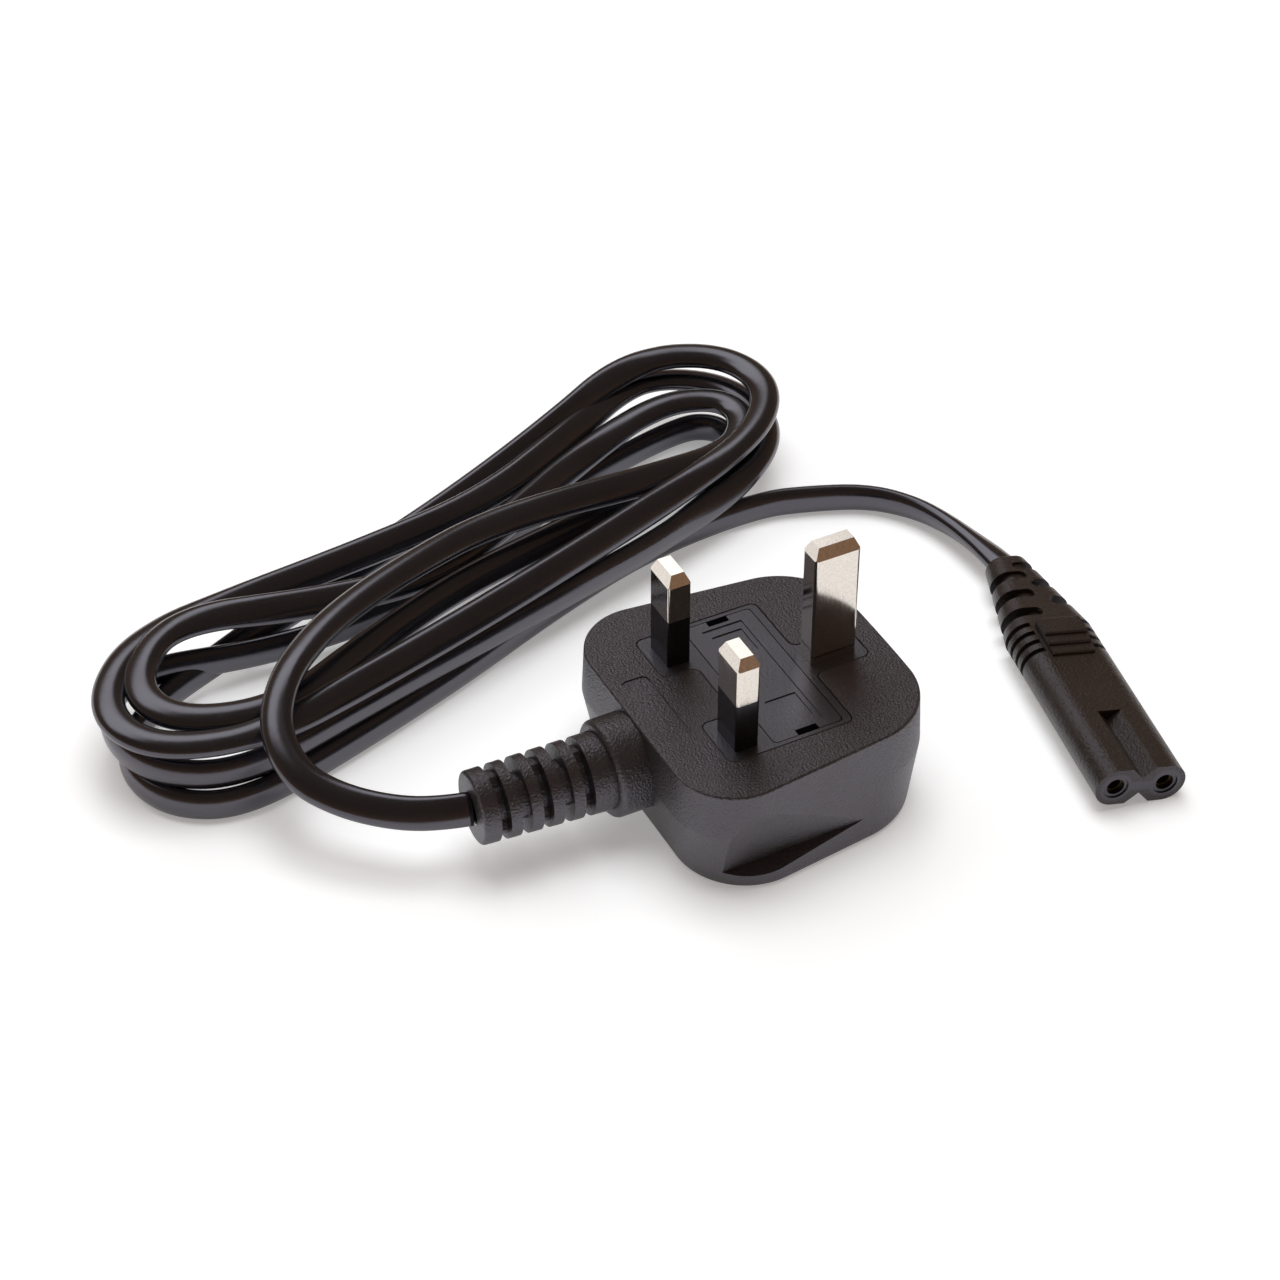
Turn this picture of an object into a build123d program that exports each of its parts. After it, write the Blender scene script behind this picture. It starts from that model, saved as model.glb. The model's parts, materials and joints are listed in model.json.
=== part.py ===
"""Mains lead: a moulded three-pin plug, a flat twin cord in a hank and a two-pole connector."""
import os
from math import cos, pi, radians, sin, tan

from build123d import *

os.makedirs("parts", exist_ok=True)

# All sizes are in millimetres and all angles in degrees.
# The origin is the middle of the plug's back, on the table. +X runs to the earth pin, +Z along the pins.

# Plug body
body_height = 20.0
body_length = 44.5
cord_end_half_width = 25.5
earth_end_half_width = 20.5
cord_end_corner = 10.0
earth_end_corner = 13.0
earth_end_bow = 0.6
parting_height = 11.7
parting_bulge = 0.4
back_cord_end_inset = 1.5
back_earth_end_inset = 0.8
back_side_flare = 0.5
back_corner_growth = 2.0
back_round = 1.2
face_edge_round = 0.4

# Finger grips, cut into both sides with a rising ledge near the back
grip_ledge_height = 4.6
grip_ledge_rise = 4.2
grip_ledge_slope = 20.0
grip_depth_y = 22.3
grip_lean = 13.0
grip_turn = 2.9
grip_tool_reach = 10.0

# Shallow panel on the pin face by the cord end
panel_length = 4.7
panel_width = 16.4
panel_depth = 0.2
panel_from_cord_end = 2.0
panel_corner = 1.2

# Pins
live_pin_spacing = 22.23
earth_pin_offset = 22.23
live_pin_from_cord_end = 12.5
live_pin_thick = 4.0
live_pin_wide = 6.35
live_pin_length = 17.7
sleeve_length = 9.0
sleeve_wall = 0.6
sleeve_root = 2.0
earth_pin_wide = 8.0
earth_pin_thick = 4.0
earth_pin_length = 22.73
pin_tip_length = 2.0
pin_tip_angle = 24.0
pin_edge_round = 0.5
anchor_margin = 0.9
anchor_thick = 1.5
anchor_depth = 8.0
anchor_height = body_height - anchor_depth
earth_pin_root = 1.5

# Inner moulding that holds the pins
bridge_depth = 12.5
bridge_bottom = body_height - bridge_depth
bridge_length = 22.0
bridge_half_width = 16.2
bridge_from_cord_end = 8.5
bridge_notch_length = 6.0
bridge_notch_half_width = 6.0
bridge_tongue_length = 10.2
bridge_tongue_half_width = 3.75
bridge_corner = 1.4
bridge_edge = 0.25

# Fuse carrier and the pocket it sits in
carrier_gap = 0.15
pocket_length = 12.3
pocket_width = 30.5
pocket_depth = 10.5
pocket_floor = body_height - pocket_depth
pocket_corner = 0.8
pocket_from_cord_end = 16.7
carrier_plate = 2.7
carrier_recess_length = 7.1
carrier_recess_width = 26.4
carrier_recess_depth = 0.2
carrier_pad_length = 5.4
carrier_pad_width = 5.7
carrier_pad_offset = 8.7
prise_slot_length = 3.7
prise_slot_width = 1.2
prise_slot_depth = 1.6
saddle_cap_gap = 0.6
saddle_side = 1.4
saddle_depth = 8.5
saddle_bottom = body_height - saddle_depth

# Cartridge fuse
fuse_length = 25.4
fuse_radius = 3.175
fuse_tube_radius = 2.9
fuse_bore_radius = 1.9
fuse_cap_length = 5.6
fuse_cap_end = 0.6
fuse_element_radius = 0.3
fuse_axis_depth = 6.4
fuse_axis_height = body_height - fuse_axis_depth
saddle_gap = 0.05

# Fuse clips, straps and crimps
clip_gap = 0.075
clip_sheet = 0.5
clip_width = 3.0
clip_from_fuse_end = 3.0
clip_top_depth = 5.0
clip_top = body_height - clip_top_depth
strap_thick = 0.8
crimp_radius = 1.6
crimp_length = 5.0
line_crimp_y = 3.6
neutral_crimp_y = -10.0
line_crimp_end = -8.0
neutral_crimp_end = -13.9

# Neck and ringed strain relief
cord_axis_height = 11.5
neck_radius = 8.0
neck_length = 5.6
neck_round = 1.0
relief_lean = 3.2
relief_length = 21.4
relief_root_radius = 6.5
relief_end_radius = 5.95
relief_core_radius = 3.7
relief_first_slot = 3.3
relief_slot = 1.6
relief_pitch = 3.45
relief_slots = 5
relief_web = 5.4
relief_web_drop = 0.9
relief_edge = 0.6
relief_cut_reach = 2.0

# Cord
cord_wide = 5.4
cord_thick = 3.4
cord_turn = 35.0
core_radius = 0.95
core_spacing = 2.1
plug_tail_length = 26.0
connector_tail_length = 15.0

# Bends of the bared cores between the sheath and the crimps
core_grip = 1.0
line_core_run = 5.0
line_core_shift = 1.2
line_core_drop = 0.4
neutral_core_run = 4.0
neutral_core_shift = 4.0
neutral_core_drop = 2.4
neutral_core_lead = 0.5
connector_core_run = 6.0
connector_core_spread = 1.6
connector_core_lead = 3.0
connector_core_inset = 0.5

# Connector, in its own frame: the front face at the origin, +X to the cord, +Z up
connector_width = 15.6
connector_height = 7.0
connector_body_length = 38.0
connector_length = 57.4
connector_end_width = 7.4
connector_end_height = 5.4
connector_front_x = 50.15
connector_front_y = -35.0
connector_turn = 79.5
connector_roll = 8.0
socket_spacing = 8.6
front_groove_length = 14.5
front_groove_half_width = 2.1
front_groove_depth = 2.0
thumb_start = 29.0
thumb_length = 8.0
thumb_half_width = 3.8
thumb_step = 0.55
thumb_steps = 3
thumb_round = 0.3
side_rib_first = 30.4
side_rib_pitch = 2.2
side_rib_count = 4
side_rib_slot = 1.0
side_rib_depth = 0.7
side_rib_inner = 4.4
side_cut_reach = 1.0
left_slot_first = 40.0
left_slot_inner = 0.6
left_slot_deepens = 0.7
right_slot_first = 42.6
right_slot_inner = 2.0
right_slot_deepens = 1.3
connector_slot_pitch = 5.2
connector_slot = 2.2
connector_slots = 3
connector_slot_wall = 0.6
connector_edge = 0.5
insert_radius = 2.7
insert_web = 1.7
insert_length = 20.0
socket_entry_radius = 1.5
socket_entry_length = 1.2
socket_ring_radius = 2.1
socket_ring_depth = 0.25
contact_radius = 1.75
contact_bore_radius = 1.2
contact_bore_length = 14.8
contact_length = 17.8
contact_crimp_length = 5.0

# Hank: an elongated loop of stacked turns with a waist on its far side
hank_left_x = -78.25
hank_left_y = 45.5
hank_left_radius = 16.5
hank_right_x = 31.75
hank_right_y = 77.5
hank_right_radius = 18.0
hank_levels = 3
hank_bundle = 8.0
hank_waist_offset = 10.5
hank_waist_radius = 160.0
hank_hole_reach = 30.0
hank_hole_tip = 2.0
hank_round = 1.5

# Routes of the two free stretches, between their first and last points
plug_lead_middle = [(-72.6, 11.2, 12.4), (-75.2, 24.2, 15.2), (-68.6, 36.2, 18.0), (-57.2, 43.3, 17.0)]
plug_lead_start = 13.0
connector_lead_middle = [(59.6, 41.5), (50.0, 51.5), (36.0, 56.6), (23.0, 59.2)]
connector_lead_start = 8.0

# Places that follow from the sizes above
cord_end_x = -body_length / 2
earth_end_x = body_length / 2
live_pin_x = cord_end_x + live_pin_from_cord_end
live_pin_y = live_pin_spacing / 2
earth_pin_x = live_pin_x + earth_pin_offset
bridge_x = cord_end_x + bridge_from_cord_end + bridge_length / 2
pocket_x = cord_end_x + pocket_from_cord_end + pocket_length / 2
neck_end_x = cord_end_x - neck_length
hank_height = hank_levels * cord_wide


def block(x_range, y_range, z_range):
    """Box between the given limits."""
    size_x = x_range[1] - x_range[0]
    size_y = y_range[1] - y_range[0]
    size_z = z_range[1] - z_range[0]
    corner = Pos(x_range[0], y_range[0], z_range[0])
    return corner * Box(size_x, size_y, size_z, align=(Align.MIN, Align.MIN, Align.MIN))


def rod_x(radius, start, length):
    """Round rod along X from the given start."""
    rod = Cylinder(radius, length, align=(Align.CENTER, Align.CENTER, Align.MIN))
    return Pos(start, 0, 0) * Rot(0, 90, 0) * rod


def rod_y(radius, start, length):
    """Round rod along Y from the given start."""
    rod = Cylinder(radius, length, align=(Align.CENTER, Align.CENTER, Align.MIN))
    return Pos(0, start, 0) * Rot(-90, 0, 0) * rod


def slot_section(size_y, size_z, x):
    """Flat section with round ends, standing across X at the given place."""
    across = Plane(origin=(x, 0, 0), x_dir=(0, 1, 0), z_dir=(1, 0, 0))
    if size_y >= size_z:
        return across * SlotOverall(size_y, size_z)
    return across * SlotOverall(size_z, size_y, rotation=90)


def slot_bar(size_y, size_z, start, length):
    """Bar of the flat section along X."""
    return extrude(slot_section(size_y, size_z, start), amount=length, dir=(1, 0, 0))


def round_wire(points, start_way, end_way):
    """Round core carried along a smooth line through the points."""
    path = Spline(*points, tangents=(start_way, end_way))
    start = Plane(origin=path @ 0, z_dir=path % 0)
    return sweep(start * Circle(core_radius), path)


def round_bar(thick_x, wide_y, bottom, top):
    """Upright bar with the pins' round long edges."""
    section = Plane.XY.offset(bottom) * RectangleRounded(thick_x, wide_y, pin_edge_round)
    return extrude(section, amount=top - bottom)


def pin(thick_x, wide_y, bottom, tip):
    """Flat pin with round long edges and its four tip edges sloped."""
    shank = block((-thick_x / 2, thick_x / 2), (-wide_y / 2, wide_y / 2), (bottom, tip - pin_tip_length))
    tip_base = Plane.XY.offset(tip - pin_tip_length) * Rectangle(thick_x, wide_y)
    sharp = shank + extrude(tip_base, amount=pin_tip_length, taper=pin_tip_angle)
    return sharp & round_bar(thick_x, wide_y, bottom, tip)


def anchor(thick_x, wide_y):
    """Collar that keeps a pin in the inner moulding."""
    half_x = thick_x / 2 + anchor_margin
    half_y = wide_y / 2 + anchor_margin
    return block((-half_x, half_x), (-half_y, half_y), (anchor_height, anchor_height + anchor_thick))


def flat_tube(name, points, smallest):
    """Flat cord along straight runs and tangent arcs, its wide side upright."""
    points = [Vector(*p) for p in points]
    radii = []
    for before, here, after in zip(points, points[1:], points[2:]):
        run = min((here - before).length, (after - here).length)
        half_turn = radians((here - before).get_angle(after - here)) / 2
        radii.append(0.45 * run / tan(half_turn))
    path = FilletPolyline(*points, radius=radii)
    start = Plane(origin=path @ 0, x_dir=(path % 0).cross(Vector(0, 0, 1)), z_dir=path % 0)
    tube = sweep(start * SlotOverall(cord_wide, cord_thick, rotation=90), path)
    section = (cord_wide - cord_thick) * cord_thick + pi * cord_thick**2 / 4
    print(name, "radii", [round(r, 1) for r in radii], "smallest wanted", round(smallest, 1))
    print(name, "length", round(path.length, 1), "volume over section", round(tube.volume / section, 1))
    return tube


nodes = {}

# Pins, sleeves and their anchors
face = body_height
core_x = live_pin_thick - 2 * sleeve_wall
core_y = live_pin_wide - 2 * sleeve_wall
live_pin = pin(live_pin_thick, live_pin_wide, face + sleeve_length, face + live_pin_length)
root_z = (bridge_bottom, face + sleeve_length)
live_root = block((-core_x / 2, core_x / 2), (-core_y / 2, core_y / 2), root_z)
live_pin = live_pin + live_root + anchor(core_x, core_y)
sleeve = round_bar(live_pin_thick, live_pin_wide, face - sleeve_root, face + sleeve_length) - live_root
earth_pin = pin(earth_pin_wide, earth_pin_thick, bridge_bottom + earth_pin_root, face + earth_pin_length)
earth_pin = earth_pin + anchor(earth_pin_wide, earth_pin_thick)
nodes["line_pin"] = Pos(live_pin_x, live_pin_y, 0) * live_pin
nodes["neutral_pin"] = Pos(live_pin_x, -live_pin_y, 0) * live_pin
nodes["line_pin_sleeve"] = Pos(live_pin_x, live_pin_y, 0) * sleeve
nodes["neutral_pin_sleeve"] = Pos(live_pin_x, -live_pin_y, 0) * sleeve
nodes["earth_pin"] = Pos(earth_pin_x, 0, 0) * earth_pin

# Cartridge fuse, along Y under the carrier
fuse_place = Pos(pocket_x, 0, fuse_axis_height)
tube_length = fuse_length - 2 * fuse_cap_end
tube_outer = rod_y(fuse_tube_radius, -tube_length / 2, tube_length)
cap_start = fuse_length / 2 - fuse_cap_length
cap = rod_y(fuse_radius, cap_start, fuse_cap_length) - tube_outer
nodes["fuse_tube"] = fuse_place * (tube_outer - rod_y(fuse_bore_radius, -tube_length / 2, tube_length))
nodes["fuse_cap_line"] = fuse_place * cap
nodes["fuse_cap_load"] = fuse_place * (Rot(0, 0, 180) * cap)
nodes["fuse_element"] = fuse_place * rod_y(fuse_element_radius, -tube_length / 2, tube_length)

# Fuse carrier: a flush plate with a stepped recess and a saddle that straddles the fuse
plate_length = pocket_length - 2 * carrier_gap
plate_width = pocket_width - 2 * carrier_gap
plate = RectangleRounded(plate_length, plate_width, pocket_corner)
carrier = extrude(Plane.XY.offset(face - carrier_plate) * plate, amount=carrier_plate)
recess = Rectangle(carrier_recess_length, carrier_recess_width)
recess = Plane.XY.offset(face - carrier_recess_depth) * recess
carrier = carrier - extrude(recess, amount=carrier_recess_depth)
pad_bottom = face - 2 * carrier_recess_depth
for side in (-1, 1):
    pad = Pos(0, side * carrier_pad_offset) * Rectangle(carrier_pad_length, carrier_pad_width)
    carrier = carrier - extrude(Plane.XY.offset(pad_bottom) * pad, amount=carrier_recess_depth)
    slot_y = side * (plate_width - prise_slot_width) / 2
    prise = Pos(0, slot_y) * Rectangle(prise_slot_length, prise_slot_width)
    carrier = carrier - extrude(Plane.XY.offset(face - prise_slot_depth) * prise, amount=prise_slot_depth)
saddle_bore = fuse_tube_radius + saddle_gap
saddle_half_length = saddle_bore + saddle_side
saddle_half_width = cap_start - saddle_cap_gap
saddle_limits = (-saddle_half_width, saddle_half_width)
saddle_z = (saddle_bottom, face - carrier_plate)
saddle = block((-saddle_half_length, saddle_half_length), saddle_limits, saddle_z)
saddle = saddle - Pos(0, 0, fuse_axis_height) * rod_y(saddle_bore, -saddle_half_width, 2 * saddle_half_width)
saddle = saddle - block((-saddle_bore, saddle_bore), saddle_limits, (saddle_bottom, fuse_axis_height))
nodes["fuse_carrier"] = Pos(pocket_x, 0, 0) * (carrier + saddle)

# Straps under the inner moulding, with the clip arms that rise beside the fuse caps
strap_z = (bridge_bottom - strap_thick, bridge_bottom)
strap_mid = bridge_bottom - strap_thick / 2
arm_inner = fuse_radius + clip_gap
arm_outer = arm_inner + clip_sheet
clip_offset = fuse_length / 2 - clip_from_fuse_end
clip_y = (clip_offset - clip_width / 2, clip_offset + clip_width / 2)
arms = block((-arm_outer, -arm_inner), clip_y, (bridge_bottom, clip_top))
arms = Pos(pocket_x, 0, 0) * (arms + block((arm_inner, arm_outer), clip_y, (bridge_bottom, clip_top)))
strap_end = pocket_x + arm_outer
strap_start = pocket_x - arm_outer
line_strap = block((live_pin_x - core_x / 2, strap_end), clip_y, strap_z)
nodes["line_fuse_clip"] = arms + line_strap
load_strap = block((strap_start, strap_end), (-clip_y[1], -clip_y[0]), strap_z)
cross_y = line_crimp_y + clip_width / 2
load_strap = load_strap + block((strap_start, strap_start + clip_width), (-clip_y[0], cross_y), strap_z)
load_strap = load_strap + block((line_crimp_end, strap_start), (cross_y - clip_width, cross_y), strap_z)
line_barrel = rod_x(crimp_radius, line_crimp_end - crimp_length, crimp_length)
line_barrel = Pos(0, line_crimp_y, strap_mid) * line_barrel
load_clip = mirror(arms, about=Plane.XZ) + load_strap + line_barrel
tag_y = (neutral_crimp_y - clip_width / 2, neutral_crimp_y + clip_width / 2)
neutral_tag = block((neutral_crimp_end, live_pin_x + core_x / 2), tag_y, strap_z)
neutral_barrel = rod_x(crimp_radius, neutral_crimp_end - crimp_length, crimp_length)
neutral_tag = neutral_tag + Pos(0, neutral_crimp_y, strap_mid) * neutral_barrel

# Strain relief in its own frame: the neck's end at the origin, +X along the cord
relief_place = Pos(neck_end_x, 0, cord_axis_height) * Rot(0, 0, 180 - relief_lean)
relief_overlap = neck_length / 2
cone_length = relief_length + relief_overlap
cone_align = (Align.CENTER, Align.CENTER, Align.MIN)
relief = Cone(relief_root_radius, relief_end_radius, cone_length, align=cone_align)
relief = Pos(-relief_overlap, 0, 0) * Rot(0, 90, 0) * relief
relief = fillet(relief.edges().sort_by(Axis.X)[-1], relief_edge)
for i in range(relief_slots):
    slot_start = relief_first_slot + i * relief_pitch
    reach = relief_root_radius + relief_cut_reach
    ring = rod_x(reach, slot_start, relief_slot) - rod_x(relief_core_radius, slot_start, relief_slot)
    web_y = (-relief_web / 2, relief_web / 2) if i % 2 == 0 else (-reach, reach)
    web_z = (-reach, reach) if i % 2 == 0 else (-relief_web / 2, relief_web / 2)
    web = block((slot_start, slot_start + relief_slot), web_y, web_z)
    web = web & rod_x(relief_end_radius - relief_web_drop, slot_start, relief_slot)
    relief = relief - (ring - Rot(cord_turn, 0, 0) * web)

# Sheathed end of the cord and its two cores, inside the plug
plug_tail = slot_bar(cord_thick, cord_wide, relief_length - plug_tail_length, plug_tail_length)
nodes["plug_cord_tail"] = relief_place * Rot(cord_turn, 0, 0) * plug_tail
tail_end = relief_place * Pos(relief_length - plug_tail_length, 0, 0) * Rot(cord_turn, 0, 0)
tail_x = tail_end.position.X
tail_y = tail_end.position.Y
line_start = (tail_end * Pos(0, 0, core_spacing / 2)).position
line_turn = (tail_x + line_core_run, tail_y + line_core_shift, cord_axis_height - line_core_drop)
line_entry = (line_crimp_end - crimp_length, line_crimp_y, strap_mid)
line_stop = (line_crimp_end - core_grip, line_crimp_y, strap_mid)
relief_way = (cos(radians(relief_lean)), -sin(radians(relief_lean)), 0)
line_route = [line_start, line_turn, line_entry, line_stop]
plug_line_core = round_wire(line_route, relief_way, (1, 0, 0))
neutral_start = (tail_end * Pos(0, 0, -core_spacing / 2)).position
neutral_turn_z = cord_axis_height - neutral_core_drop
neutral_turn = (tail_x + neutral_core_run, tail_y - neutral_core_shift, neutral_turn_z)
neutral_entry = (neutral_crimp_end - crimp_length + neutral_core_lead, neutral_crimp_y, strap_mid)
neutral_stop = (neutral_crimp_end - core_grip, neutral_crimp_y, strap_mid)
neutral_route = [neutral_start, neutral_turn, neutral_entry, neutral_stop]
plug_neutral_core = round_wire(neutral_route, relief_way, (1, 0, 0))
nodes["plug_line_core"] = plug_line_core
nodes["plug_neutral_core"] = plug_neutral_core
nodes["load_fuse_clip"] = load_clip - plug_line_core
nodes["neutral_crimp"] = neutral_tag - plug_neutral_core

# Inner moulding round the pins, with the fuse pocket
bridge_end_x = bridge_x + bridge_length / 2
outline = Pos(bridge_x, 0) * Rectangle(bridge_length, 2 * bridge_half_width)
tongue = Rectangle(bridge_tongue_length * 2, 2 * bridge_tongue_half_width)
outline = outline + Pos(bridge_end_x, 0) * tongue
notch = Rectangle(bridge_notch_length * 2, 2 * bridge_notch_half_width)
outline = outline - Pos(bridge_x - bridge_length / 2, 0) * notch
outline = fillet(outline.vertices(), bridge_corner)
bridge_block = extrude(Plane.XY.offset(bridge_bottom) * outline, amount=face - bridge_bottom)
pocket = Pos(pocket_x, 0) * RectangleRounded(pocket_length, pocket_width, pocket_corner)
bridge = chamfer(bridge_block.faces().sort_by(Axis.Z)[-1].edges(), bridge_edge)
pocket_space = extrude(Plane.XY.offset(pocket_floor) * pocket, amount=face - pocket_floor)
bridge = bridge - pocket_space
through_bridge = ("line_pin", "neutral_pin", "earth_pin", "line_pin_sleeve", "neutral_pin_sleeve")
through_bridge = through_bridge + ("line_fuse_clip", "load_fuse_clip")
for name in through_bridge:
    bridge = bridge - nodes[name]
nodes["pin_bridge"] = bridge

# Plug moulding: two drafted halves that meet at the parting line, finger grips, neck and strain relief


def plan_at(height, cord_inset, earth_inset, flare, corner_growth):
    """The plug's outline at a height, changed from the pin face's by the given amounts."""
    cord_x = cord_end_x + cord_inset
    earth_x = earth_end_x - earth_inset
    cord_half = cord_end_half_width + flare
    earth_half = earth_end_half_width + flare
    side_end_x = earth_x - earth_end_bow
    corner_a = (cord_x, -cord_half)
    corner_b = (cord_x, cord_half)
    corner_c = (side_end_x, earth_half)
    corner_d = (side_end_x, -earth_half)
    sides = Line(corner_d, corner_a) + Line(corner_a, corner_b) + Line(corner_b, corner_c)
    plan = make_face(sides + ThreePointArc(corner_c, (earth_x, 0), corner_d))
    plan = fillet(plan.vertices().sort_by(Axis.X)[:2], cord_end_corner + corner_growth)
    plan = fillet(plan.vertices().sort_by(Axis.X)[-2:], earth_end_corner + corner_growth)
    return Plane.XY.offset(height) * plan


back_plan = plan_at(0, back_cord_end_inset, back_earth_end_inset, back_side_flare, back_corner_growth)
parting_plan = plan_at(parting_height, -parting_bulge, -parting_bulge, parting_bulge, parting_bulge)
face_plan = plan_at(body_height, 0, 0, 0, 0)
body = loft([back_plan, parting_plan], ruled=True) + loft([parting_plan, face_plan], ruled=True)
body = fillet(body.faces().sort_by(Axis.Z)[-1].edges(), face_edge_round)
body = fillet(body.faces().sort_by(Axis.Z)[0].edges(), back_round)
grip_rise = body_height - grip_ledge_height
grip_top_y = grip_depth_y + grip_rise * tan(radians(grip_lean))
grip_far = cord_end_half_width + grip_tool_reach
grip_drop = (grip_far - grip_depth_y) * tan(radians(grip_ledge_slope))
grip_corners = [(grip_depth_y, 0), (grip_far, -grip_drop), (grip_far, grip_rise), (grip_top_y, grip_rise)]
grip = extrude(Plane.YZ * make_face(Polyline(*grip_corners, close=True)), amount=body_length, both=True)
grip = Pos(0, 0, grip_ledge_height) * Rot(0, 0, grip_turn) * Rot(0, -grip_ledge_rise, 0) * grip
body = body - grip
body = body - mirror(grip, about=Plane.XZ)
neck = rod_x(neck_radius, neck_end_x, live_pin_from_cord_end + neck_length)
neck = fillet(neck.edges().sort_by(Axis.X)[0], neck_round)
plug = body + Pos(0, 0, cord_axis_height) * neck + relief_place * relief
panel_x = cord_end_x + panel_from_cord_end + panel_length / 2
panel = Pos(panel_x, 0) * RectangleRounded(panel_length, panel_width, panel_corner)
plug = plug - extrude(Plane.XY.offset(face - panel_depth) * panel, amount=panel_depth)
plug = plug - bridge_block - pocket_space
for name in through_bridge + ("neutral_crimp", "plug_cord_tail", "plug_line_core", "plug_neutral_core"):
    plug = plug - nodes[name]
nodes["plug_moulding"] = plug

# Connector, built along its own X
socket_y = socket_spacing / 2
half_height = connector_height / 2
shell = slot_bar(connector_width, connector_height, 0, connector_body_length)
shell_end = slot_section(connector_width, connector_height, connector_body_length)
relief_end = slot_section(connector_end_width, connector_end_height, connector_length)
shell = shell + loft([shell_end, relief_end])
shell = fillet(shell.faces().sort_by(Axis.X)[-1].edges(), connector_edge)
for side in (-1, 1):
    top = side * (half_height + 0.01)
    groove_floor = side * (half_height - front_groove_depth)
    groove_corners = [(-front_groove_half_width, top), (front_groove_half_width, top), (0, groove_floor)]
    groove = make_face(Polyline(*groove_corners, close=True))
    shell = shell - extrude(Plane.YZ * groove, amount=front_groove_length)
for i in range(thumb_steps):
    step_start = thumb_start + i * thumb_length / (thumb_steps + 1)
    step_top = half_height + (i + 1) * thumb_step
    step_y = (-thumb_half_width, thumb_half_width)
    step = block((step_start, thumb_start + thumb_length), step_y, (0, step_top))
    shell = shell + fillet(step.edges().filter_by(Axis.Y).group_by(Axis.Z)[-1], thumb_round)
rib_reach = connector_width / 2 + side_cut_reach
rib_core_width = connector_width - 2 * side_rib_depth
rib_core_height = connector_height - 2 * side_rib_depth
rib_core = slot_bar(rib_core_width, rib_core_height, 0, connector_length)
for i in range(side_rib_count):
    rib_start = side_rib_first + i * side_rib_pitch
    rib_x = (rib_start, rib_start + side_rib_slot)
    rib = block(rib_x, (side_rib_inner, rib_reach), (-connector_height, connector_height))
    rib = rib + mirror(rib, about=Plane.XZ)
    shell = shell - (rib - rib_core)
slot_core_width = cord_wide + 2 * connector_slot_wall
slot_core_height = cord_thick + 2 * connector_slot_wall
slot_core = slot_bar(slot_core_width, slot_core_height, 0, connector_length)


def relief_slot_tool(start, inner):
    """Slot across the connector's strain relief from a round inner end to beyond the side."""
    half = connector_slot / 2
    cut = block((-half, half), (inner + half, rib_reach), (-connector_height, connector_height))
    cut = cut + Pos(0, inner + half, 0) * Cylinder(half, 2 * connector_height)
    return Pos(start + half, 0, 0) * cut


for i in range(connector_slots):
    left_start = left_slot_first + i * connector_slot_pitch
    right_start = right_slot_first + i * connector_slot_pitch
    left_slot = relief_slot_tool(left_start, left_slot_inner - i * left_slot_deepens)
    right_slot = relief_slot_tool(right_start, right_slot_inner - i * right_slot_deepens)
    shell = shell - (left_slot - slot_core) - (mirror(right_slot, about=Plane.XZ) - slot_core)

# Inner moulding round the sockets, the contacts and the cores behind them
insert = block((0, insert_length), (-socket_y, socket_y), (-insert_web / 2, insert_web / 2))
contact = rod_x(contact_radius, socket_entry_length, contact_length)
contact = contact - rod_x(contact_bore_radius, socket_entry_length, contact_bore_length)
contact_end = socket_entry_length + contact_length
contact = contact + rod_x(crimp_radius, contact_end, contact_crimp_length)
connector_parts = {}
tail_start = connector_length - connector_tail_length
for side, name in ((1, "line"), (-1, "neutral")):
    place = Pos(0, side * socket_y, 0)
    insert = insert + place * rod_x(insert_radius, 0, insert_length)
for side, name in ((1, "line"), (-1, "neutral")):
    place = Pos(0, side * socket_y, 0)
    core_start = (tail_start, side * core_spacing / 2, 0)
    core_bend = (tail_start - connector_core_run, side * connector_core_spread, 0)
    core_out_x = contact_end + contact_crimp_length + connector_core_lead
    core_out = (core_out_x, side * (socket_y - connector_core_inset), 0)
    core_stop = (contact_end + core_grip, side * socket_y, 0)
    core_near = (contact_end + contact_crimp_length, side * socket_y, 0)
    core = round_wire([core_start, core_bend, core_out, core_near, core_stop], (-1, 0, 0), (-1, 0, 0))
    insert = insert - place * contact - place * rod_x(contact_bore_radius, 0, contact_end)
    insert = insert - place * rod_x(socket_entry_radius, 0, socket_entry_length)
    insert = insert - place * rod_x(socket_ring_radius, 0, socket_ring_depth)
    connector_parts[f"{name}_contact"] = place * contact - core
    connector_parts[f"connector_{name}_core"] = core
connector_parts["connector_insert"] = insert
connector_tail = slot_bar(cord_wide, cord_thick, tail_start, connector_tail_length)
connector_parts["connector_cord_tail"] = connector_tail
shell = shell - block((0, insert_length), (-socket_y, socket_y), (-insert_web / 2, insert_web / 2))
for side in (-1, 1):
    shell = shell - Pos(0, side * socket_y, 0) * rod_x(insert_radius, 0, insert_length)
for name in ("line_contact", "neutral_contact", "connector_line_core", "connector_neutral_core"):
    shell = shell - connector_parts[name]
connector_parts["connector_moulding"] = shell - connector_tail

# The connector lies on the table, rolled a little by the twist of the cord, on its lower side
lobe_drop = socket_y * sin(radians(connector_roll)) + half_height
connector_place = Pos(connector_front_x, connector_front_y, lobe_drop)
connector_place = connector_place * Rot(0, 0, connector_turn) * Rot(connector_roll, 0, 0)
for name, shape in connector_parts.items():
    nodes[name] = connector_place * shape

# Free stretch of cord from the strain relief to the hank
relief_tip = (relief_place * Pos(relief_length, 0, 0)).position
relief_out = (relief_place * Pos(relief_length + plug_lead_start, 0, 0)).position
plug_lead = [tuple(relief_tip), tuple(relief_out)] + plug_lead_middle
nodes["cord_plug_lead"] = flat_tube("cord_plug_lead", plug_lead, 3 * cord_wide)

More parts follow.
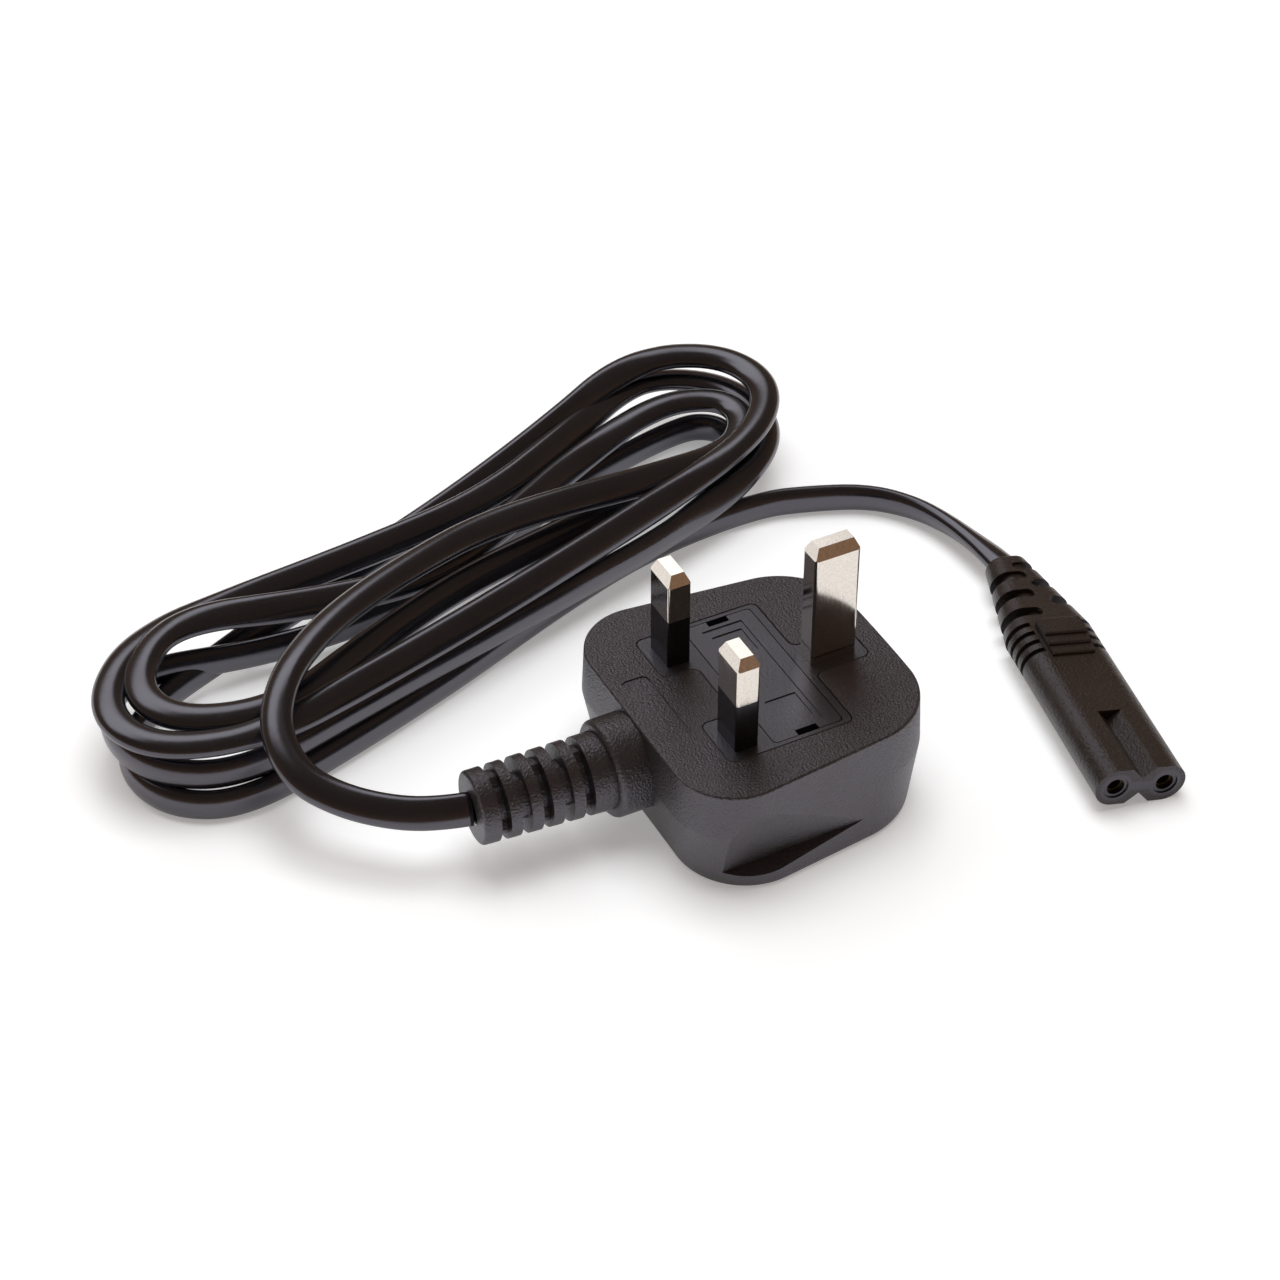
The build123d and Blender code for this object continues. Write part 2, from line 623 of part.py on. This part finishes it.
# Free stretch of cord from the connector to the hank
connector_tip = (connector_place * Pos(connector_length, 0, 0)).position
connector_out = (connector_place * Pos(connector_length + connector_lead_start, 0, 0)).position
connector_lead = [tuple(connector_tip), tuple(connector_out)]
connector_lead = connector_lead + [(x, y, cord_wide / 2) for x, y in connector_lead_middle]
nodes["cord_connector_lead"] = flat_tube("cord_connector_lead", connector_lead, 3 * cord_wide)

# Hank: the outer shape of all its turns together
left_end = Vector(hank_left_x, hank_left_y)
right_end = Vector(hank_right_x, hank_right_y)
along = (right_end - left_end).normalized()
far_side = Vector(-along.Y, along.X)


def at(point):
    """Place at a point of the table."""
    return Pos(point.X, point.Y)


def hull_of(first, first_radius, second, second_radius):
    """Outline drawn tightly round two circles."""
    pair = (at(first) * Circle(first_radius)).edges() + (at(second) * Circle(second_radius)).edges()
    return make_hull(pair)


hank_plan = hull_of(left_end, hank_left_radius, right_end, hank_right_radius)
waist_centre = (left_end + right_end) * 0.5 + far_side * (hank_waist_offset + hank_waist_radius)
hank_plan = hank_plan - at(waist_centre) * Circle(hank_waist_radius)
left_hole_tip = left_end + along * hank_hole_reach
left_hole = hull_of(left_end, hank_left_radius - hank_bundle, left_hole_tip, hank_hole_tip)
right_hole_tip = right_end - along * hank_hole_reach
right_hole = hull_of(right_end, hank_right_radius - hank_bundle, right_hole_tip, hank_hole_tip)
hank_plan = hank_plan - left_hole - right_hole
hank = extrude(hank_plan, amount=hank_height)
nodes["cord_hank"] = fillet(hank.faces().sort_by(Axis.Z)[-1].edges(), hank_round)

for name, shape in nodes.items():
    export_step(shape, f"parts/{name}.step")
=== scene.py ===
"""A mains lead with a three pin plug, a twin socket connector and a hanked flat cord."""

import json
import math

import bpy
import numpy as np
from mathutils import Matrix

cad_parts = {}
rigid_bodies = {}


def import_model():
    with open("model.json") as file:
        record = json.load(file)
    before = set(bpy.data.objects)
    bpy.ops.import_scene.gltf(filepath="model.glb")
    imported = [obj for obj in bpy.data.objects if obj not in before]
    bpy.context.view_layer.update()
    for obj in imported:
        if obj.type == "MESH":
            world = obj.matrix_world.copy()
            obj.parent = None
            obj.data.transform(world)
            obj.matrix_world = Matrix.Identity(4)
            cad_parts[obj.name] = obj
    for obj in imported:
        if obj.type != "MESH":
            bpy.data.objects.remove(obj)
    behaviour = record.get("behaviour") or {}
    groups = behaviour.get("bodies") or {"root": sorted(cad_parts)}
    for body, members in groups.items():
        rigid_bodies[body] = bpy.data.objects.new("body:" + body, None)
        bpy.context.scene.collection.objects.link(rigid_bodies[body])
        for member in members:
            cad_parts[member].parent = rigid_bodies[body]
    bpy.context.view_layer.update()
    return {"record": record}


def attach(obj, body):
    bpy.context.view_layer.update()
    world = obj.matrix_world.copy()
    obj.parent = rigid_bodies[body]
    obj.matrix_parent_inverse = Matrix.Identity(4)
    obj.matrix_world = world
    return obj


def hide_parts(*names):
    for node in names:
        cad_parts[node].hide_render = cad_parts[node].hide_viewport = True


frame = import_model()

MM = 0.001
scene = bpy.context.scene
scene.view_settings.view_transform = "Standard"


# Cord, in millimetres and degrees

CORD_WIDE = 5.4
CORD_THICK = 3.4
OVAL_POWER = 0.95
OVAL_STEPS = 28
SPLINE_STEPS = 14
PLUG_EXIT = (-49.22, 1.19, 11.5)

# How far the flat cord leans from upright at the connector, over the hank and at the plug.
CONNECTOR_LEAN = 82.0
ARCH_LEAN = 130.0
PLUG_LEAN = 35.0

# The hank lies along a line turned a little from the row's X axis.
HANK_MIDDLE = np.array([-23.25, 61.5])
HANK_WAY = np.array([110.0, 32.0])
HANK_ALONG = HANK_WAY / math.hypot(*HANK_WAY)
HANK_ACROSS = np.array([-HANK_ALONG[1], HANK_ALONG[0]])

# The spline touches its control polygon at the middle of each side, so the points of a loop
# stand outside it by the stretch.
RUN_POINTS = 4
LOOP_POINTS = 4
RUN_SHARES = np.arange(1, RUN_POINTS + 1) / (RUN_POINTS + 1)
LOOP_STEP = math.pi / LOOP_POINTS
LOOP_ANGLES = (np.arange(LOOP_POINTS) + 0.5) * LOOP_STEP - math.pi / 2
LOOP_STRETCH = 1 / math.cos(LOOP_STEP / 2)
BOW_SPREAD = 0.3

CONNECTOR_LEAD = [(60.6, 21.4, 4.1), (60.5, 25.5, 4.0), (60.0, 31.0, 3.6), (59.0, 37.5, 3.1),
                  (56.5, 44.5, 2.8), (51.0, 51.0, 2.7), (42.0, 55.0, 2.7), (32.0, 58.0, 2.7)]
PLUG_LEAD = [(10.0, 60.5, 13.5), (-5.5, 60.0, 15.0), (-21.0, 58.5, 16.0), (-34.0, 53.5, 17.5),
             (-47.0, 48.0, 18.5), (-57.5, 42.0, 19.0), (-66.0, 35.0, 18.5), (-71.0, 27.0, 16.0),
             (-71.0, 18.0, 13.5), (-66.5, 11.5, 12.0), (-60.5, 6.0, 11.5), (-54.5, 2.5, 11.5),
             PLUG_EXIT]

# Each turn of the hank. A loop is its tip along the hank, its middle across it, its depth and
# its half width. A bow is how far a run is pushed across and at which share of its way. A run
# climbs between two heights. The leans from upright are those of the near run, the left loop,
# the far run and the right loop.
TURNS = [
    dict(left=(-70.0, -4.0, 16.0, 14.5), right=(69.0, 1.5, 22.0, 16.0),
         near_bow=(4.5, 0.25), far_bow=(-2.5, 0.6),
         near_height=(2.7, 2.7), left_height=2.7, far_height=(3.5, 12.5), right_height=13.5,
         leans=(0, 0, 35, 85)),
    dict(left=(-70.5, -0.5, 24.5, 16.5), right=(67.0, 0.5, 19.0, 17.0),
         near_bow=(-1.0, 0.5), far_bow=(-10.0, 0.6),
         near_height=(12.0, 12.0), left_height=13.0, far_height=(10.0, 11.0), right_height=9.0,
         leans=(125, 90, 50, 100)),
    dict(left=(-70.0, -0.5, 17.5, 16.5), right=(63.0, 0.5, 8.5, 6.5),
         near_bow=(-2.0, 0.2), far_bow=(-11.5, 0.4),
         near_height=(7.0, 7.0), left_height=7.5, far_height=(4.5, 3.5), right_height=2.7,
         leans=(180, 180, 180, 180)),
    dict(left=(-64.0, 0.5, 24.5, 15.0), right=(62.5, -2.0, 17.5, 10.0),
         near_bow=(5.0, 0.6), far_bow=(-15.5, 0.4),
         near_height=(5.0, 12.5), left_height=13.5, far_height=(13.5, 7.0), right_height=10.0,
         leans=(140, 95, 50, 90)),
]


def hank_point(along, across, height):
    """Row frame points from distances along and across the hank and heights off the floor."""
    flat = HANK_MIDDLE + np.outer(along, HANK_ALONG) + np.outer(across, HANK_ACROSS)
    return np.column_stack([flat, np.broadcast_to(height, len(flat))])


def hank_place(point):
    """Distances along and across the hank of one row frame point."""
    away = np.asarray(point[:2]) - HANK_MIDDLE
    return np.array([away @ HANK_ALONG, away @ HANK_ACROSS])


def end_loop(tip, middle, depth, half, height, side):
    """A half ellipse at one end of the hank, as deep as depth and twice half wide.

    From its centre it goes along the hank by depth times the cosine of an even turn, and
    across by half times its sine.
    """
    along = tip - side * depth + side * depth * np.cos(LOOP_ANGLES) * LOOP_STRETCH
    across = middle - side * half * np.sin(LOOP_ANGLES) * LOOP_STRETCH
    return hank_point(along, across, height)


def bowed_run(start, finish, bow, heights):
    """A straight climbing run from start to finish, pushed across the hank by a bell curve."""
    reach, middle = bow
    low, high = heights
    first, last = hank_place(start), hank_place(finish)
    along, across = (first + np.outer(RUN_SHARES, last - first)).T
    push = reach * np.exp(-((RUN_SHARES - middle) / BOW_SPREAD) ** 2)
    return hank_point(along, across + push, low + RUN_SHARES * (high - low))


def cord_route():
    """The cord's control points: the connector's lead, the hank's turns, the plug's lead."""
    route = [np.array(CONNECTOR_LEAD)]
    for turn in TURNS:
        left = end_loop(*turn["left"], turn["left_height"], -1)
        right = end_loop(*turn["right"], turn["right_height"], 1)
        near = bowed_run(route[-1][-1], left[0], turn["near_bow"], turn["near_height"])
        far = bowed_run(left[-1], right[0], turn["far_bow"], turn["far_height"])
        route += [near, left, far, right]
    route.append(np.array(PLUG_LEAD))
    return np.concatenate(route) * MM


def cord_leans():
    """How far the flat cord leans from upright at each of its control points, in degrees.

    The connector's lean fades with the square of what is left of its lead, the turns hold
    theirs, and the plug's lead goes evenly from the arch's lean to the plug's.
    """
    left_over = 1 - np.linspace(0, 1, len(CONNECTOR_LEAD))
    points = [RUN_POINTS, LOOP_POINTS, RUN_POINTS, LOOP_POINTS]
    leans = [CONNECTOR_LEAN * left_over ** 2]
    leans += [np.repeat(turn["leans"], points) for turn in TURNS]
    leans.append(np.linspace(ARCH_LEAN, PLUG_LEAN, len(PLUG_LEAD)))
    return np.concatenate(leans)


def smooth_line(control):
    """Points along a NURBS curve of order 3 that has these control points."""
    curve = bpy.data.curves.new("cord_route", "CURVE")
    curve.dimensions = "3D"
    spline = curve.splines.new("NURBS")
    spline.points.add(len(control) - 1)
    spline.points.foreach_set("co", np.column_stack([control, np.ones(len(control))]).ravel())
    spline.order_u = 3
    spline.use_endpoint_u = True
    spline.resolution_u = SPLINE_STEPS
    holder = bpy.data.objects.new("cord_route", curve)
    line = bpy.data.meshes.new_from_object(holder)
    points = np.empty(len(line.vertices) * 3)
    line.vertices.foreach_get("co", points)
    bpy.data.meshes.remove(line)
    bpy.data.objects.remove(holder)
    bpy.data.curves.remove(curve)
    return points.reshape(-1, 3)


def flat_oval():
    """The cord's section: an oval whose sides are a little flatter than an ellipse's.

    Half the thickness times the cosine of an even turn, and half the width times its sine,
    each raised to a power just under one and keeping its sign.
    """
    turn = np.arange(OVAL_STEPS) * (2 * math.pi / OVAL_STEPS)
    ring = np.column_stack([np.cos(turn), np.sin(turn)])
    half = np.array([CORD_THICK, CORD_WIDE]) / 2
    return half * np.sign(ring) * np.abs(ring) ** OVAL_POWER


def carried_section(line, section, lean):
    """A section carried along a line, its wide side upright and then leaned at each point.

    Upright is straight up less its share along the line, and the side is square to both. The
    lean turns the two together about the line.
    """
    along = np.gradient(line, axis=0)
    along /= np.linalg.norm(along, axis=1)[:, None]
    upright = np.array([0.0, 0.0, 1.0]) - along[:, 2:] * along
    upright /= np.linalg.norm(upright, axis=1)[:, None]
    side = np.cross(along, upright)
    c, s = np.cos(lean)[:, None], np.sin(lean)[:, None]
    broad = upright * c - side * s
    thin = side * c + upright * s
    return (line[:, None, :] + section[None, :, :1] * thin[:, None, :]
            + section[None, :, 1:] * broad[:, None, :])


def running_length(line):
    """Distance along a line at each of its points: the lengths of its steps added up."""
    steps = np.linalg.norm(np.diff(line, axis=0), axis=1)
    return np.concatenate([[0.0], np.cumsum(steps)])


def closed_tube(name, points, run):
    """A tube through rows of section points, closed by a flat cap at each end.

    Each face joins two neighbours in a row to the two after them. Its map is the distance
    along the tube and the share of the way round.
    """
    rows, around = points.shape[:2]
    row = np.arange(rows - 1)[:, None] * around
    step = np.arange(around)
    after = (step + 1) % around
    sides = np.stack([row + step, row + after, row + around + after, row + around + step], -1)
    sides = sides.reshape(-1, 4).tolist()
    caps = [list(range(around))[::-1], list(range((rows - 1) * around, rows * around))]
    mesh = bpy.data.meshes.new(name)
    mesh.from_pydata(points.reshape(-1, 3).tolist(), [], sides + caps)
    grid = np.stack(np.meshgrid(run, np.linspace(0, 1, around + 1), indexing="ij"), -1)
    corners = np.stack([grid[:-1, :-1], grid[:-1, 1:], grid[1:, 1:], grid[1:, :-1]], -2)
    spread_map = np.concatenate([corners.reshape(-1, 2), np.zeros((2 * around, 2))])
    layer = mesh.uv_layers.new(name="along_and_round")
    layer.data.foreach_set("uv", spread_map.astype(np.float32).ravel())
    mesh.polygons.foreach_set("use_smooth", np.arange(len(mesh.polygons)) < len(sides))
    mesh.update()
    piece = bpy.data.objects.new(name, mesh)
    scene.collection.objects.link(piece)
    return piece


def flat_cord():
    """The whole cord and its line: the flat oval carried along the route's spline."""
    line = smooth_line(cord_route())
    leans = cord_leans()
    places = np.linspace(0, len(leans) - 1, len(line))
    lean = np.radians(np.interp(places, np.arange(len(leans)), leans))
    points = carried_section(line, flat_oval() * MM, lean)
    return closed_tube("flat_cord", points, running_length(line)), line


# Finishes

# The middle range of a noise pattern, which a finish stretches to its own two ends.
NOISE_LOW = 0.3
NOISE_HIGH = 0.7

# Patterns in grains per metre, and the stretch that draws a metal's lines out along Z.
SLOW_CHANGE = 90
DRAWN_LINES = 900
DRAWN_STRETCH = (4, 4, 0.15)
SPECKLE = 2600

PLASTIC_SHEEN = (0.89, 0.86, 1.0)
PLASTIC_IOR = 1.58


def new_finish(name):
    """A material with its Principled shader, ready for its nodes."""
    finish = bpy.data.materials.new(name)
    finish.use_nodes = True
    tree = finish.node_tree
    return finish, tree, tree.nodes["Principled BSDF"]


def object_noise(tree, scale, detail, stretch=(1, 1, 1)):
    """Noise on the piece's own place, scale being the grains per metre."""
    place = tree.nodes.new("ShaderNodeTexCoord")
    fit = tree.nodes.new("ShaderNodeMapping")
    fit.inputs["Scale"].default_value = stretch
    noise = tree.nodes.new("ShaderNodeTexNoise")
    noise.inputs["Scale"].default_value = scale
    noise.inputs["Detail"].default_value = detail
    tree.links.new(place.outputs["Object"], fit.inputs["Vector"])
    tree.links.new(fit.outputs["Vector"], noise.inputs["Vector"])
    return noise.outputs["Fac"]


def spread(tree, value, ends):
    """Stretches a pattern's middle range to two ends."""
    ranged = tree.nodes.new("ShaderNodeMapRange")
    ranged.inputs["From Min"].default_value = NOISE_LOW
    ranged.inputs["From Max"].default_value = NOISE_HIGH
    ranged.inputs["To Min"].default_value = ends[0]
    ranged.inputs["To Max"].default_value = ends[1]
    tree.links.new(value, ranged.inputs["Value"])
    return ranged.outputs["Result"]


def tint(tree, value, dark, light):
    """A colour between two, by a pattern's middle range."""
    ramp = tree.nodes.new("ShaderNodeValToRGB")
    ramp.color_ramp.elements[0].position = NOISE_LOW
    ramp.color_ramp.elements[1].position = NOISE_HIGH
    ramp.color_ramp.elements[0].color = (*dark, 1)
    ramp.color_ramp.elements[1].color = (*light, 1)
    tree.links.new(value, ramp.inputs["Fac"])
    return ramp.outputs["Color"]


def raised(tree, shader, height, depth):
    """Bump from a pattern, of a depth in millimetres."""
    bump = tree.nodes.new("ShaderNodeBump")
    bump.inputs["Distance"].default_value = depth * MM
    bump.inputs["Strength"].default_value = 1.0
    tree.links.new(height, bump.inputs["Height"])
    tree.links.new(bump.outputs["Normal"], shader.inputs["Normal"])


def moulded_plastic(name, dark, light, rough, grain, depth, shine=1.0):
    """Moulded plastic: a spark eroded grain, with slow changes of colour and gloss."""
    finish, tree, shader = new_finish(name)
    shader.inputs["Specular IOR Level"].default_value = shine
    shader.inputs["Specular Tint"].default_value = (*PLASTIC_SHEEN, 1)
    shader.inputs["IOR"].default_value = PLASTIC_IOR
    slow = object_noise(tree, SLOW_CHANGE, detail=3)
    fine = object_noise(tree, grain, detail=2)
    tree.links.new(tint(tree, slow, dark, light), shader.inputs["Base Color"])
    tree.links.new(spread(tree, slow, rough), shader.inputs["Roughness"])
    raised(tree, shader, fine, depth)
    return finish


def drawn_metal(name, dark, light, rough, depth):
    """Plated metal: fine lines drawn along Z, with a little speckle."""
    finish, tree, shader = new_finish(name)
    shader.inputs["Metallic"].default_value = 1.0
    lines = object_noise(tree, DRAWN_LINES, detail=3, stretch=DRAWN_STRETCH)
    speckle = object_noise(tree, SPECKLE, detail=2)
    tree.links.new(tint(tree, speckle, dark, light), shader.inputs["Base Color"])
    tree.links.new(spread(tree, lines, rough), shader.inputs["Roughness"])
    raised(tree, shader, speckle, depth)
    return finish


FINISHES = {
    "plug_pvc": moulded_plastic(
        "black_plug_pvc", (0.016, 0.0125, 0.0115), (0.022, 0.0175, 0.0165),
        rough=(0.37, 0.45), grain=2500, depth=0.2),
    "plug_insert": moulded_plastic(
        "black_pin_bridge", (0.010, 0.0095, 0.0098), (0.013, 0.012, 0.0125),
        rough=(0.36, 0.44), grain=2300, depth=0.06),
    "carrier_plastic": moulded_plastic(
        "black_fuse_carrier", (0.010, 0.0095, 0.010), (0.013, 0.012, 0.013),
        rough=(0.32, 0.40), grain=2400, depth=0.04),
    "pin_metal": drawn_metal(
        "nickel_plated_pin", (0.70, 0.65, 0.59), (0.80, 0.75, 0.69),
        rough=(0.08, 0.16), depth=0.0015),
    "pin_sleeve": moulded_plastic(
        "black_pin_sleeve", (0.006, 0.0055, 0.0055), (0.008, 0.0075, 0.0075),
        rough=(0.20, 0.26), grain=1500, depth=0.006, shine=0.5),
    "cord_pvc": moulded_plastic(
        "black_cord_pvc", (0.008, 0.0075, 0.0077), (0.011, 0.0105, 0.0107),
        rough=(0.19, 0.24), grain=900, depth=0.012),
    "connector_pvc": moulded_plastic(
        "black_connector_pvc", (0.018, 0.0115, 0.007), (0.023, 0.0155, 0.010),
        rough=(0.34, 0.42), grain=2500, depth=0.14, shine=0.5),
    "connector_insert": moulded_plastic(
        "black_socket_face", (0.009, 0.0085, 0.0095), (0.012, 0.011, 0.0125),
        rough=(0.32, 0.40), grain=2000, depth=0.04, shine=0.7),
    "fuse_ceramic": moulded_plastic(
        "fuse_ceramic", (0.66, 0.62, 0.54), (0.72, 0.69, 0.62),
        rough=(0.3, 0.4), grain=1200, depth=0.006, shine=0.5),
    "fuse_cap": drawn_metal(
        "fuse_cap_nickel", (0.66, 0.63, 0.58), (0.74, 0.71, 0.67),
        rough=(0.2, 0.3), depth=0.003),
    "fuse_wire": drawn_metal(
        "fuse_wire", (0.7, 0.68, 0.64), (0.78, 0.76, 0.72),
        rough=(0.2, 0.3), depth=0.002),
    "brass_strip": drawn_metal(
        "brass_strip", (0.66, 0.5, 0.24), (0.74, 0.58, 0.3),
        rough=(0.22, 0.32), depth=0.004),
    "contact_brass": drawn_metal(
        "contact_brass", (0.16, 0.12, 0.07), (0.22, 0.17, 0.1),
        rough=(0.4, 0.5), depth=0.003),
    "line_core": moulded_plastic(
        "brown_core", (0.10, 0.045, 0.022), (0.13, 0.06, 0.03),
        rough=(0.32, 0.40), grain=900, depth=0.01, shine=0.5),
    "neutral_core": moulded_plastic(
        "blue_core", (0.02, 0.10, 0.32), (0.03, 0.13, 0.38),
        rough=(0.32, 0.40), grain=900, depth=0.01, shine=0.5),
}


def dress_nodes():
    """Gives every CAD node the finish of its slot."""
    for part in frame["record"]["subparts"]:
        for slot in bpy.data.objects[part["node"]].material_slots:
            slot.material = FINISHES[part["material_slot"]]


# Studio, in millimetres and degrees

FLOOR_HALF = 3000.0
FLOOR_WHITE = (0.9, 0.9, 0.9)
FLOOR_LIFT = (0.3, 0.3, 0.3)

# The window's side edges as bearings from the row's Y axis in radians, its sill and top as
# sines of their elevations: each one goes from dark to bright.
WINDOW_LEFT = (-1.1, -0.7)
WINDOW_RIGHT = (0.68, 0.46)
WINDOW_SILL = (0.5, 0.64)
WINDOW_TOP = (0.94, 0.84)
WINDOW_LIGHT = 1.84

# The walls' colour at the floor and from the sine of an elevation upwards.
WALL_LOW = (0.24, 0.14, 0.08)
WALL_HIGH = (0.10, 0.07, 0.05)
WALL_RISE = 0.6

BOX_PLACE = (80.0, 120.0, 900.0)
BOX_AIM = (-20.0, 20.0, 0.0)
BOX_SIDE = 600.0
BOX_POWER = 5.6
BOX_COLOUR = (0.95, 0.975, 1.0)

CAMERA_PLACE = (-185.198, -319.857, 337.954)
CAMERA_DIP = 40.09
CAMERA_BEARING = 27.2024
CAMERA_LENS = 87.44
CAMERA_SENSOR = 36.0
CAMERA_NEAREST = 10.0


def arithmetic(tree, operation, first, second):
    """One step of arithmetic on two values."""
    step = tree.nodes.new("ShaderNodeMath")
    step.operation = operation
    tree.links.new(first, step.inputs[0])
    tree.links.new(second, step.inputs[1])
    return step.outputs["Value"]


def soft_edge(tree, value, dark, bright):
    """A smooth step of a value, from none at dark to all at bright."""
    step = tree.nodes.new("ShaderNodeMapRange")
    step.interpolation_type = "SMOOTHSTEP"
    low, high = sorted((dark, bright))
    step.inputs["From Min"].default_value = low
    step.inputs["From Max"].default_value = high
    step.inputs["To Min"].default_value = float(dark > bright)
    step.inputs["To Max"].default_value = float(dark < bright)
    tree.links.new(value, step.inputs["Value"])
    return step.outputs["Result"]


def white_glow(tree, strength):
    """Plain white light of a strength, for the room."""
    glow = tree.nodes.new("ShaderNodeBackground")
    glow.inputs["Color"].default_value = (1, 1, 1, 1)
    glow.inputs["Strength"].default_value = strength
    return glow.outputs["Background"]


def mixed(tree, share, first, second):
    """The first light where the share is none, the second where it is all."""
    mix = tree.nodes.new("ShaderNodeMixShader")
    tree.links.new(share, mix.inputs[0])
    tree.links.new(first, mix.inputs[1])
    tree.links.new(second, mix.inputs[2])
    return mix.outputs["Shader"]


def white_sweep():
    """White paper that keeps the shadow, lifted to white for the camera and in reflections."""
    finish = bpy.data.materials.new("white_sweep")
    finish.use_nodes = True
    tree = finish.node_tree
    tree.nodes.clear()
    paper = tree.nodes.new("ShaderNodeBsdfDiffuse")
    paper.inputs["Color"].default_value = (*FLOOR_WHITE, 1)
    ray = tree.nodes.new("ShaderNodeLightPath")
    lift = tree.nodes.new("ShaderNodeEmission")
    lift.inputs["Color"].default_value = (*FLOOR_LIFT, 1)
    seen = arithmetic(tree, "MAXIMUM", ray.outputs["Is Camera Ray"], ray.outputs["Is Glossy Ray"])
    both = tree.nodes.new("ShaderNodeAddShader")
    result = tree.nodes.new("ShaderNodeOutputMaterial")
    tree.links.new(seen, lift.inputs["Strength"])
    tree.links.new(paper.outputs["BSDF"], both.inputs[0])
    tree.links.new(lift.outputs["Emission"], both.inputs[1])
    tree.links.new(both.outputs["Shader"], result.inputs["Surface"])
    return finish


def white_floor():
    """A wide flat square of white paper under the object."""
    half = FLOOR_HALF * MM
    mesh = bpy.data.meshes.new("white_floor")
    mesh.from_pydata([(-half, -half, 0), (half, -half, 0), (half, half, 0), (-half, half, 0)], [],
                     [(0, 1, 2, 3)])
    mesh.materials.append(white_sweep())
    floor = bpy.data.objects.new("white_floor", mesh)
    scene.collection.objects.link(floor)


def window_share(tree, way):
    """How much of the window lies in a direction: its four soft edges multiplied together."""
    bearing = arithmetic(tree, "ARCTAN2", way.outputs["X"], way.outputs["Y"])
    share = soft_edge(tree, bearing, *WINDOW_LEFT)
    for value, edge in [(bearing, WINDOW_RIGHT), (way.outputs["Z"], WINDOW_SILL),
                        (way.outputs["Z"], WINDOW_TOP)]:
        share = arithmetic(tree, "MULTIPLY", share, soft_edge(tree, value, *edge))
    return share


def brown_walls(tree, way):
    """The room's walls, which darken from the floor up."""
    fade = tree.nodes.new("ShaderNodeValToRGB")
    fade.color_ramp.elements[0].color = (*WALL_LOW, 1)
    fade.color_ramp.elements[1].position = WALL_RISE
    fade.color_ramp.elements[1].color = (*WALL_HIGH, 1)
    walls = tree.nodes.new("ShaderNodeBackground")
    tree.links.new(way.outputs["Z"], fade.inputs["Fac"])
    tree.links.new(fade.outputs["Color"], walls.inputs["Color"])
    return walls.outputs["Background"]


def studio_room():
    """A dim brown room with one wide window high up, which the camera sees as plain white."""
    world = bpy.data.worlds.new("studio_room")
    scene.world = world
    world.use_nodes = True
    tree = world.node_tree
    tree.nodes.clear()
    place = tree.nodes.new("ShaderNodeTexCoord")
    way = tree.nodes.new("ShaderNodeSeparateXYZ")
    ray = tree.nodes.new("ShaderNodeLightPath")
    result = tree.nodes.new("ShaderNodeOutputWorld")
    tree.links.new(place.outputs["Generated"], way.inputs["Vector"])
    room = mixed(tree, window_share(tree, way), brown_walls(tree, way), white_glow(tree, WINDOW_LIGHT))
    seen = mixed(tree, ray.outputs["Is Camera Ray"], room, white_glow(tree, 1.0))
    tree.links.new(seen, result.inputs["Surface"])


def overhead_box():
    """A square soft box over the object, aimed at it and left out of reflections."""
    lamp = bpy.data.lights.new("overhead_box", "AREA")
    lamp.shape = "SQUARE"
    lamp.size = BOX_SIDE * MM
    lamp.energy = BOX_POWER
    lamp.color = BOX_COLOUR
    holder = bpy.data.objects.new("overhead_box", lamp)
    x, y, z = np.subtract(BOX_AIM, BOX_PLACE)
    holder.location = np.array(BOX_PLACE) * MM
    holder.rotation_euler = (math.atan2(math.hypot(x, y), -z), 0, math.atan2(y, x) - math.pi / 2)
    holder.visible_glossy = False
    scene.collection.objects.link(holder)


def portrait_camera():
    """The camera of the photograph, in the row frame."""
    lens = bpy.data.cameras.new("portrait_camera")
    lens.sensor_width = CAMERA_SENSOR
    lens.lens = CAMERA_LENS
    lens.clip_start = CAMERA_NEAREST * MM
    camera = bpy.data.objects.new("portrait_camera", lens)
    camera.location = np.array(CAMERA_PLACE) * MM
    camera.rotation_euler = (math.radians(90 - CAMERA_DIP), 0, math.radians(-CAMERA_BEARING))
    scene.collection.objects.link(camera)
    scene.camera = camera


dress_nodes()
cord, cord_line = flat_cord()
cord.data.materials.append(FINISHES["cord_pvc"])
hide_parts("cord_plug_lead", "cord_hank", "cord_connector_lead")
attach(cord, "lead")

white_floor()
studio_room()
overhead_box()
portrait_camera()
